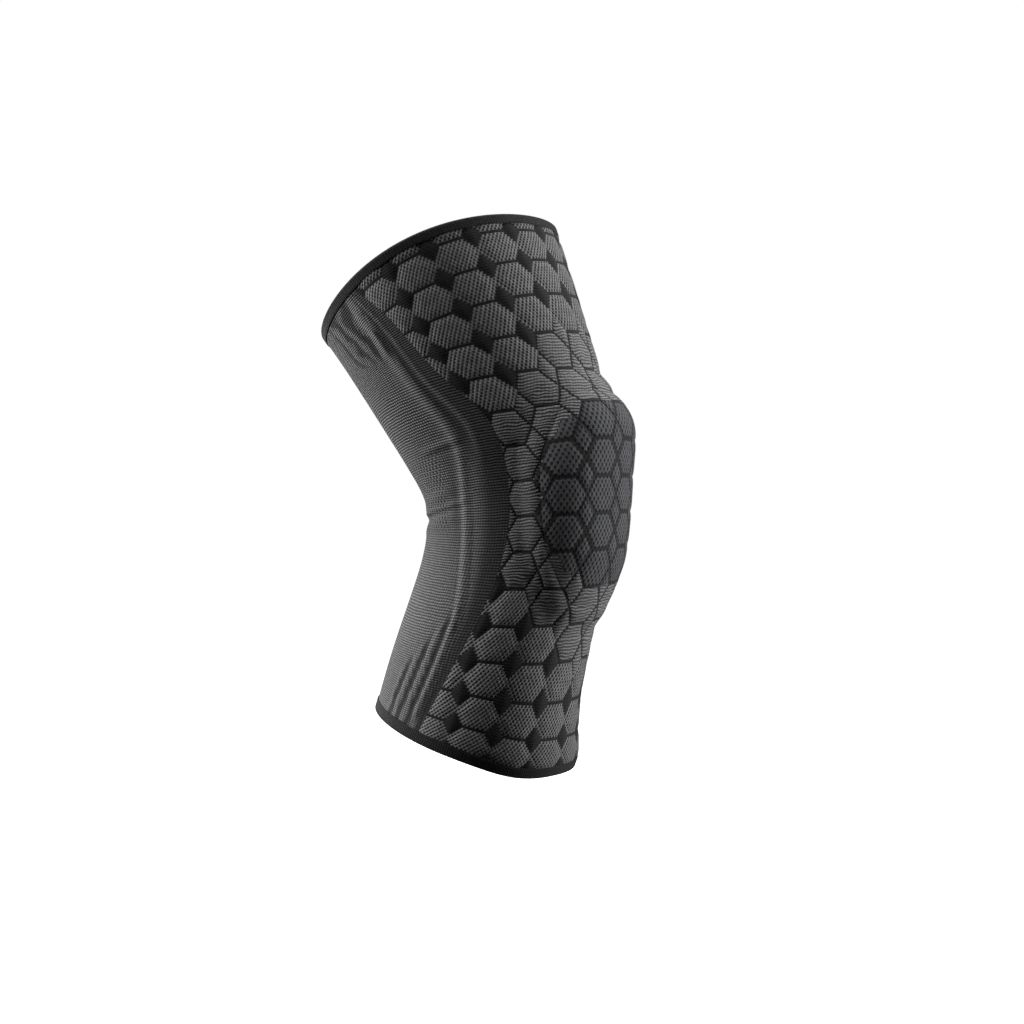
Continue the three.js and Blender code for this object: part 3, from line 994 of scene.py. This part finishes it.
def pad_lattice():
    """Column and row of a square grid pressed into the octagon: a point keeps its direction from the middle,
    and the square's size at it becomes the octagon's."""
    line = np.linspace(-1.0, 1.0, PAD_GRID)
    across, along = np.meshgrid(line, line)
    square = np.maximum(abs(across), abs(along))
    reach = square / np.maximum(pad_size(across, along), TINY)
    return across * reach, along * reach, square


def pad_height(column, row, size):
    """Thickness in millimetres: the edge, plus the crown by a quarter sine over the border, plus cushions,
    less a bell-shaped groove on each line. The cushions and grooves fade at the outline."""
    border = np.clip((1.0 - size) / PAD_SHOULDER, 0.0, 1.0)
    shoulder = np.sin(np.pi / 2.0 * border) ** PAD_FULLNESS
    line = hexagon_edge(column, row)
    relief = CUSHION * ease(line / CUSHION_REACH) - GROOVE_DEPTH * hump(line, GROOVE_WIDTH)
    crown = PAD_CROWN + PAD_SLOPE * row
    return between(PAD_EDGE, crown, shoulder) + relief * ease((1.0 - size) / RELIEF_FADE)


def make_pad():
    """Face and underside over the same grid, joined round the outline. The underside comes down to the
    cloth at the outline, so the pad grows out of it with no step."""
    column, row, size = pad_lattice()
    angle, station = place_of(column, row)
    foot = between(PAD_FOOT, PAD_GAP, ease((1.0 - size) / FOOT_FADE))
    face = leg_point(angle, station, TENT + foot + pad_height(column, row, size))
    under = leg_point(angle, station, TENT + foot)
    count = PAD_GRID * PAD_GRID
    quads = grid_quads(PAD_GRID, PAD_GRID, False)
    numbers = np.arange(count).reshape(PAD_GRID, PAD_GRID)
    rim = np.concatenate([numbers[0, :-1], numbers[:-1, -1], numbers[-1, :0:-1], numbers[:0:-1, 0]])
    beside = np.roll(rim, -1)
    border = np.stack([beside, rim, rim + count, beside + count], -1)
    points = np.concatenate([face.reshape(-1, 3), under.reshape(-1, 3)])
    all_quads = np.concatenate([quads[:, ::-1], quads + count, border[:, ::-1]])
    lattice = np.stack([column, row], -1).reshape(-1, 2)
    doubled = np.concatenate([lattice, lattice])
    return make_piece("knee_cushion", points, all_quads, {"lattice": doubled[all_quads]}, [pad_knit])


pad = make_pad()

# %% [markdown]
# ## The finish of the hems
# Each end of the sleeve is bound with a folded elastic edging, nearly black, with fine ribs across it. The
# mesh lifts each rib a little, so the finish only counts the ribs in the UV map and darkens between them.

# %% Hem material
HEM_RELIEF = 0.30
COURSES_A_UNIT = 6.0


def hem_material():
    """Black elastic with fine ribs; the map's first number counts ribs round the rim."""
    material = new_material("hem_elastic")
    tree = material.node_tree
    rib_number, over = read_map(tree, "lattice")
    rib = bump_at(rib_number.math("FRACT"), 0.5, 0.5)
    course_place = over * COURSES_A_UNIT
    course = bump_at(course_place.math("FRACT"), 0.5, 0.5)
    luck = stitch_luck(rib_number.math("FLOOR"), course_place.math("FLOOR"))
    tone = between(0.015, 0.075, rib * course) * between(0.5, 1.5, luck)
    finish_cloth(material, tone, DARK_YARN, LIGHT_YARN, rib * 0.5 + course * 0.5, HEM_RELIEF)
    return material


hem_elastic = hem_material()

# %% [markdown]
# ## The hems
# The section of a hem is a channel that grips the end of the knit. It could be swept along a curve, but the
# rim is known point by point, so the section is simply placed at each of its points.

# %% Hem grid
HEM_NEAR = 0.70
HEM_FAR = 1.50
HEM_CROWN = 1.5
HEM_RIBS = 270
POINTS_A_RIB = 4
RIB_RISE = 0.03
HEM_BACKSTEP = 4.0
HEM_GAP = 0.3
# Two points of the lip, off the middle of the knit and along it, in millimetres.
HEM_LIP = ((1.36, 0.05), (1.16, 0.0))
HEM_MAP_UNITS = 4.0
BEND_POINTS = 15
LEG_POINTS = 6
LEG_START = 0.5
LEG_END = 0.4
SKIN_OFF = 0.4
SKIN_ALONG = 0.2


def unit(vectors):
    """The same directions, each with a length of 1."""
    return vectors / np.linalg.norm(vectors, axis=-1, keepdims=True)


def hem_profile(height):
    """Section of the folded edging: up the outer leg, round the fold, down the inner leg, and back along
    the channel. Off is away from the middle of the knit, along is towards the open end."""
    half_turn = np.radians(np.linspace(0.0, 180.0, BEND_POINTS))
    leg = np.linspace(-height + LEG_START, -LEG_END, LEG_POINTS)
    outer = np.stack([np.full(LEG_POINTS, HEM_FAR), leg], -1)
    bend = np.stack([HEM_FAR * np.cos(half_turn), HEM_CROWN * np.sin(half_turn)], -1)
    inner = np.stack([np.full(LEG_POINTS, -HEM_FAR), leg[::-1]], -1)
    lips = np.array([*HEM_LIP, (HEM_NEAR, HEM_FLARE + HEM_GAP)])
    inner_lip = lips * [-1.0, 1.0] - [0.0, height]
    outer_lip = lips[::-1] - [0.0, height]
    floor = np.array([[-HEM_NEAR, HEM_GAP], [HEM_NEAR, HEM_GAP]])
    return np.concatenate([outer, bend, inner, inner_lip, floor, outer_lip])


def make_hem(name, end_station, side, height):
    """Profile carried round the rim, with the middle, the outward way and the way along the knit taken
    from the sleeve itself. Narrow ribs lift the outer skin."""
    around = HEM_RIBS * POINTS_A_RIB
    turn = np.linspace(-180.0, 180.0, around + 1)[:-1]

    def middle(station):
        """Half a wall inside the cloth, round one station, with the angles and the way off the leg."""
        angle = ring("centre", station) + turn
        off = cloth_off(angle, station, *lattice_of(angle, station))
        return leg_point(angle, station, off - WALL / 2.0), angle, off

    rim, angle, off = middle(end_station)
    within, _, _ = middle(end_station - side * HEM_BACKSTEP)
    outward = unit(leg_point(angle, end_station, off + 1.0) - rim)
    onward = unit(rim - within)
    profile = hem_profile(height)
    wave = np.cos(2.0 * np.pi * np.arange(around) / POINTS_A_RIB)
    skin = (abs(profile[:, 0]) > HEM_NEAR + SKIN_OFF) | (profile[:, 1] > HEM_GAP + SKIN_ALONG)
    grow = 1.0 + (RIB_RISE / HEM_FAR) * wave[None, :] * skin[:, None]
    offs = (profile[:, :1] * grow * MM)[..., None]
    alongs = (profile[:, 1:] * np.where(profile[:, 1:] > 0, grow, 1.0) * MM)[..., None]
    points = rim + outward * offs + onward * alongs
    rows = len(points) + 1
    quads = grid_quads(rows, around, True) % (around * len(points))
    rib_numbers = np.arange(around + 1) / POINTS_A_RIB
    corners = corners_of(*np.meshgrid(rib_numbers, np.linspace(0.0, HEM_MAP_UNITS, rows)))
    if side > 0:
        quads = quads[:, ::-1]
        corners = corners[:, ::-1]
    return make_piece(name, points, quads, {"lattice": corners}, [hem_elastic])


top_hem = make_hem("thigh_hem", TOP_STATION, 1, TOP_HEM_HEIGHT)
bottom_hem = make_hem("calf_hem", BOTTOM_STATION, -1, BOTTOM_HEM_HEIGHT)

# %% [markdown]
# ## Place the pieces in the frame
# Each piece stands for its solid and rides on the only body.

# %% Frame
for piece, node, finish in (
    (sleeve, "sleeve", "jacquard_knit"),
    (pad, "knee_pad", "pad_knit"),
    (top_hem, "top_hem", "hem_elastic"),
    (bottom_hem, "bottom_hem", "hem_elastic"),
):
    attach(piece, "root")
    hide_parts(node)

# Steps round the leg form at some stations, in metres.
GIRTH_POINTS = 721
GIRTH_STATIONS = 15
girth_turns = np.linspace(0.0, 360.0, GIRTH_POINTS)[None, :]
girth_stations = np.linspace(BOTTOM_STATION, TOP_STATION, GIRTH_STATIONS)[:, None]
steps_round = np.diff(leg_point(girth_turns, girth_stations, 0.0), axis=1)

# %% [markdown]
# ## Camera
# The camera stands level with the knee, well round to the side of the pad, close enough that the upper rim is
# seen from a little below and the lower rim from a little above.

# %% Camera
IMAGE_SIZE = 1024
CAMERA_AZIMUTH = -64.0
CAMERA_DISTANCE = 0.65
PIXEL_AT_KNEE = 0.55 * MM
KNEE_PIXEL = (521.0, 493.0)
SENSOR_MM = 36.0


def make_camera():
    """Level camera whose picture shows the knee's middle at the named pixel."""
    turn = math.radians(CAMERA_AZIMUTH)
    towards = np.array([math.sin(turn), -math.cos(turn), 0.0])
    right = np.array([math.cos(turn), math.sin(turn), 0.0])
    shift_right = (IMAGE_SIZE / 2 - KNEE_PIXEL[0]) * PIXEL_AT_KNEE
    shift_up = (KNEE_PIXEL[1] - IMAGE_SIZE / 2) * PIXEL_AT_KNEE
    place = towards * CAMERA_DISTANCE + right * shift_right + np.array([0.0, 0.0, shift_up])
    data = bpy.data.cameras.new("camera")
    data.sensor_width = SENSOR_MM
    data.lens = CAMERA_DISTANCE / PIXEL_AT_KNEE / IMAGE_SIZE * SENSOR_MM
    data.clip_start = 0.01
    camera = bpy.data.objects.new("camera", data)
    camera.location = place
    camera.rotation_euler = (math.radians(90.0), 0.0, turn)
    bpy.context.collection.objects.link(camera)
    bpy.context.scene.camera = camera
    print("lens", round(data.lens, 1), "mm at", place.round(3))
    return towards, right


to_camera, picture_right = make_camera()

# %% [markdown]
# ## Studio
# The photo was lit by large soft lights at both sides and from above, in front of pure white. A pale floor,
# a white surround and four soft panels give the same: one at each side, one behind the thigh, and one above.

# %% Floor and lights
FLOOR_HEIGHT = -0.32
FLOOR_SIZE = 12.0
WHITE = (1.0, 1.0, 1.0, 1.0)
PALE = (0.9, 0.9, 0.9, 1.0)
FLOOR_FINISH = {"Base Color": PALE, "Roughness": 0.95, "Emission Color": WHITE, "Emission Strength": 1.05}
SEEN_SURROUND = {"Color": WHITE, "Strength": 1.0}
LIT_SURROUND = {"Color": WHITE, "Strength": 0.015}
PANEL_AWAY = 1.1
PANEL_SIZE = 0.8
# Name, shares of picture right, of the way towards the camera and of up, and power in watts.
PANELS = (
    ("right_panel", 1.0, -0.08, 0.05, 25.5),
    ("left_panel", -1.0, 0.0, 0.2, 25.0),
    ("back_panel", -0.8, -0.6, 0.2, 10.0),
    ("top_panel", 0.0, 0.1, 1.0, 20.0),
)


def make_floor():
    """Large pale square under the object. It glows white and only the camera sees it, so it lights
    nothing."""
    half = FLOOR_SIZE / 2.0
    flat = np.array([[-half, -half], [half, -half], [half, half], [-half, half]])
    corners = np.concatenate([flat, np.full((4, 1), FLOOR_HEIGHT)], axis=1)
    material = new_material("floor_white")
    set_inputs(material.node_tree.nodes["Principled BSDF"], FLOOR_FINISH)
    floor = make_piece("studio_floor", corners, np.array([[0, 1, 2, 3]]), {}, [material])
    floor.visible_diffuse = False
    floor.visible_glossy = False


def make_panel(name, right, towards, up, power):
    """Square soft light aimed at the knee, placed by its shares of the three ways."""
    way = unit(picture_right * right + to_camera * towards + np.array([0.0, 0.0, up]))
    data = bpy.data.lights.new(name, "AREA")
    data.shape = "SQUARE"
    data.size = PANEL_SIZE
    data.energy = power
    light = bpy.data.objects.new(name, data)
    light.location = way * PANEL_AWAY
    level = math.hypot(way[0], way[1])
    light.rotation_euler = (math.atan2(level, way[2]), 0.0, math.atan2(way[1], way[0]) + math.pi / 2.0)
    bpy.context.collection.objects.link(light)


def make_surround():
    """White surround: bright where it is seen, soft where it lights."""
    world = bpy.data.worlds.new("studio")
    bpy.context.scene.world = world
    world.use_nodes = True
    tree = world.node_tree
    lit = tree.nodes["Background"]
    set_inputs(lit, LIT_SURROUND)
    seen = tree.nodes.new("ShaderNodeBackground")
    set_inputs(seen, SEEN_SURROUND)
    ray = tree.nodes.new("ShaderNodeLightPath")
    mix = tree.nodes.new("ShaderNodeMixShader")
    tree.links.new(ray.outputs["Is Camera Ray"], mix.inputs["Fac"])
    tree.links.new(lit.outputs["Background"], mix.inputs[1])
    tree.links.new(seen.outputs["Background"], mix.inputs[2])
    tree.links.new(mix.outputs["Shader"], tree.nodes["World Output"].inputs["Surface"])


make_floor()
for panel in PANELS:
    make_panel(*panel)
make_surround()
bpy.context.scene.view_settings.view_transform = "Standard"
print("studio", len(PANELS), "panels")
